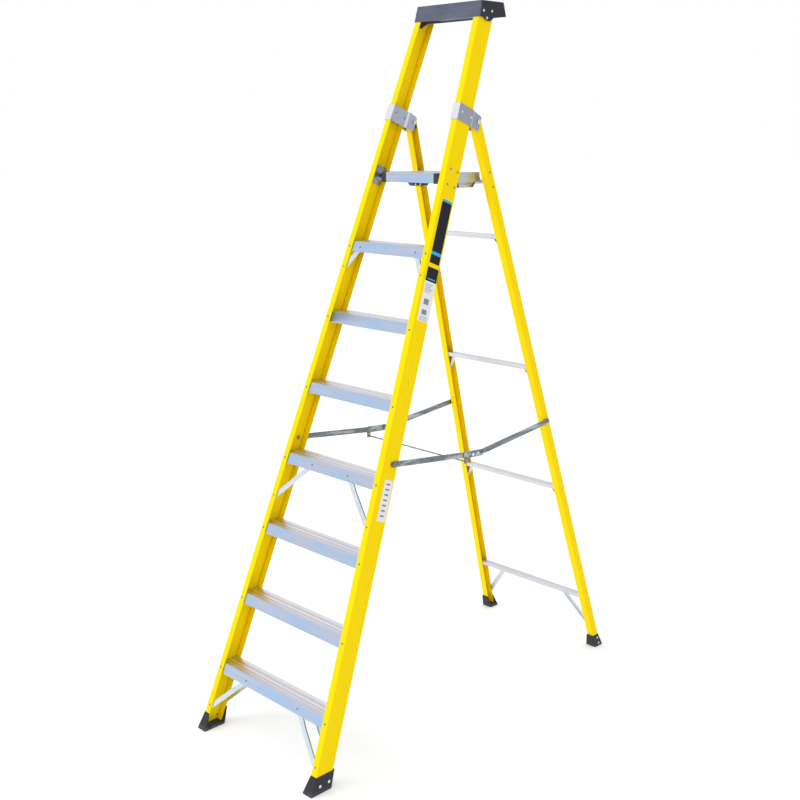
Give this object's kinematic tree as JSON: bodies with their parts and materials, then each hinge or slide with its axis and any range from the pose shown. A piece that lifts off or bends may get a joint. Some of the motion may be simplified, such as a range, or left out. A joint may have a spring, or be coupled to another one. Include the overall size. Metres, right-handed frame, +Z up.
{
  "type": "platform step ladder",
  "caption": "Folding platform step ladder with glass-fibre channel stiles, aluminium treads, a flip-up platform, folding side stays and a top tool tray",
  "frame": {"origin": "on the floor, at the middle of the four feet", "axes": "+Z up, the user climbs from -Y facing +Y, +X to the right of somebody looking at the treads"},
  "size_m": [0.6414, 1.6292, 2.563],
  "materials": {
    "glass_fibre": "yellow pultruded glass-fibre resin, smooth gloss with fine lengthwise streaks",
    "aluminium": "mill-finish extruded aluminium with lengthwise drawing lines",
    "zinc_steel": "zinc-plated pressed steel, bluish grey",
    "black_plastic": "moulded black plastic, fine grain",
    "tray_plastic": "moulded slate-blue plastic, fine grain",
    "rubber_boot": "moulded charcoal rubber, matt"
  },
  "bodies": {
    "front_frame": {"front_foot_left": "rubber_boot", "front_foot_right": "rubber_boot", "front_stile_left": "glass_fibre", "front_stile_right": "glass_fibre", "hinge_bolt_left": "zinc_steel", "hinge_bolt_right": "zinc_steel", "hinge_bracket_left": "aluminium", "hinge_bracket_right": "aluminium", "platform_pivot_bracket_left": "aluminium", "platform_pivot_bracket_right": "aluminium", "stay_front_pivot_left": "zinc_steel", "stay_front_pivot_right": "zinc_steel", "top_tray": "tray_plastic", "tread_1": "aluminium", "tread_2": "aluminium", "tread_3": "aluminium", "tread_4": "aluminium", "tread_5": "aluminium", "tread_6": "aluminium", "tread_7": "aluminium", "tread_brace_1_front_left": "aluminium", "tread_brace_1_front_right": "aluminium", "tread_brace_1_rear_left": "aluminium", "tread_brace_1_rear_right": "aluminium", "tread_brace_4_left": "aluminium", "tread_brace_4_right": "aluminium", "tread_brace_7_left": "aluminium", "tread_brace_7_right": "aluminium"},
    "rear_frame": {"back_bar_1": "aluminium", "back_bar_2": "aluminium", "back_bar_3": "aluminium", "back_bar_4": "aluminium", "bottom_brace_left": "aluminium", "bottom_brace_right": "aluminium", "platform_rest_tube": "aluminium", "rear_foot_left": "rubber_boot", "rear_foot_right": "rubber_boot", "rear_stile_left": "glass_fibre", "rear_stile_plug_left": "black_plastic", "rear_stile_plug_right": "black_plastic", "rear_stile_right": "glass_fibre", "rest_bracket_left": "aluminium", "rest_bracket_right": "aluminium"},
    "platform": {"platform_deck": "aluminium", "platform_end_cap_left": "black_plastic", "platform_end_cap_right": "black_plastic", "platform_hook_left": "black_plastic", "platform_hook_right": "black_plastic", "platform_side_left": "aluminium", "platform_side_right": "aluminium"},
    "front_stays": {"front_stay_left": "zinc_steel", "front_stay_right": "zinc_steel", "stay_elbow_pivot_left": "zinc_steel", "stay_elbow_pivot_right": "zinc_steel", "stay_joint_plate_left": "zinc_steel", "stay_joint_plate_right": "zinc_steel", "stay_tie_rod": "zinc_steel"},
    "rear_stay_l": {"rear_stay_left": "zinc_steel"},
    "rear_stay_r": {"rear_stay_right": "zinc_steel"}
  },
  "joints": [
    {"name": "rear_fold", "type": "hinge", "parent": "front_frame", "child": "rear_frame", "pos_m": [0, 0.124, 2.156], "axis": [-1, 0, 0], "range_deg": [0, 31.5]},
    {"name": "platform_flip", "type": "hinge", "parent": "front_frame", "child": "platform", "pos_m": [0, -0.013, 1.9665], "axis": [1, 0, 0], "range_deg": [0, 69.01]},
    {"name": "front_stay_lift", "type": "hinge", "parent": "front_frame", "child": "front_stays", "pos_m": [0, -0.3704, 1.0294], "axis": [1, 0, 0], "range_deg": [0, 63.05]},
    {"name": "rear_stay_left_fold", "type": "hinge", "parent": "front_stays", "child": "rear_stay_l", "pos_m": [0, 0.0777, 0.984], "axis": [-1, 0, 0], "range_deg": [0, 165.33]},
    {"name": "rear_stay_right_fold", "type": "hinge", "parent": "front_stays", "child": "rear_stay_r", "pos_m": [0, 0.0777, 0.984], "axis": [-1, 0, 0], "range_deg": [0, 165.33]}
  ],
  "couplings": [
    {"joint": "platform_flip", "follows": "rear_fold", "ratio": 2.1905},
    {"joint": "front_stay_lift", "follows": "rear_fold", "ratio": 2.0012},
    {"joint": "rear_stay_left_fold", "follows": "rear_fold", "ratio": 5.2483},
    {"joint": "rear_stay_right_fold", "follows": "rear_fold", "ratio": 5.2483}
  ]
}
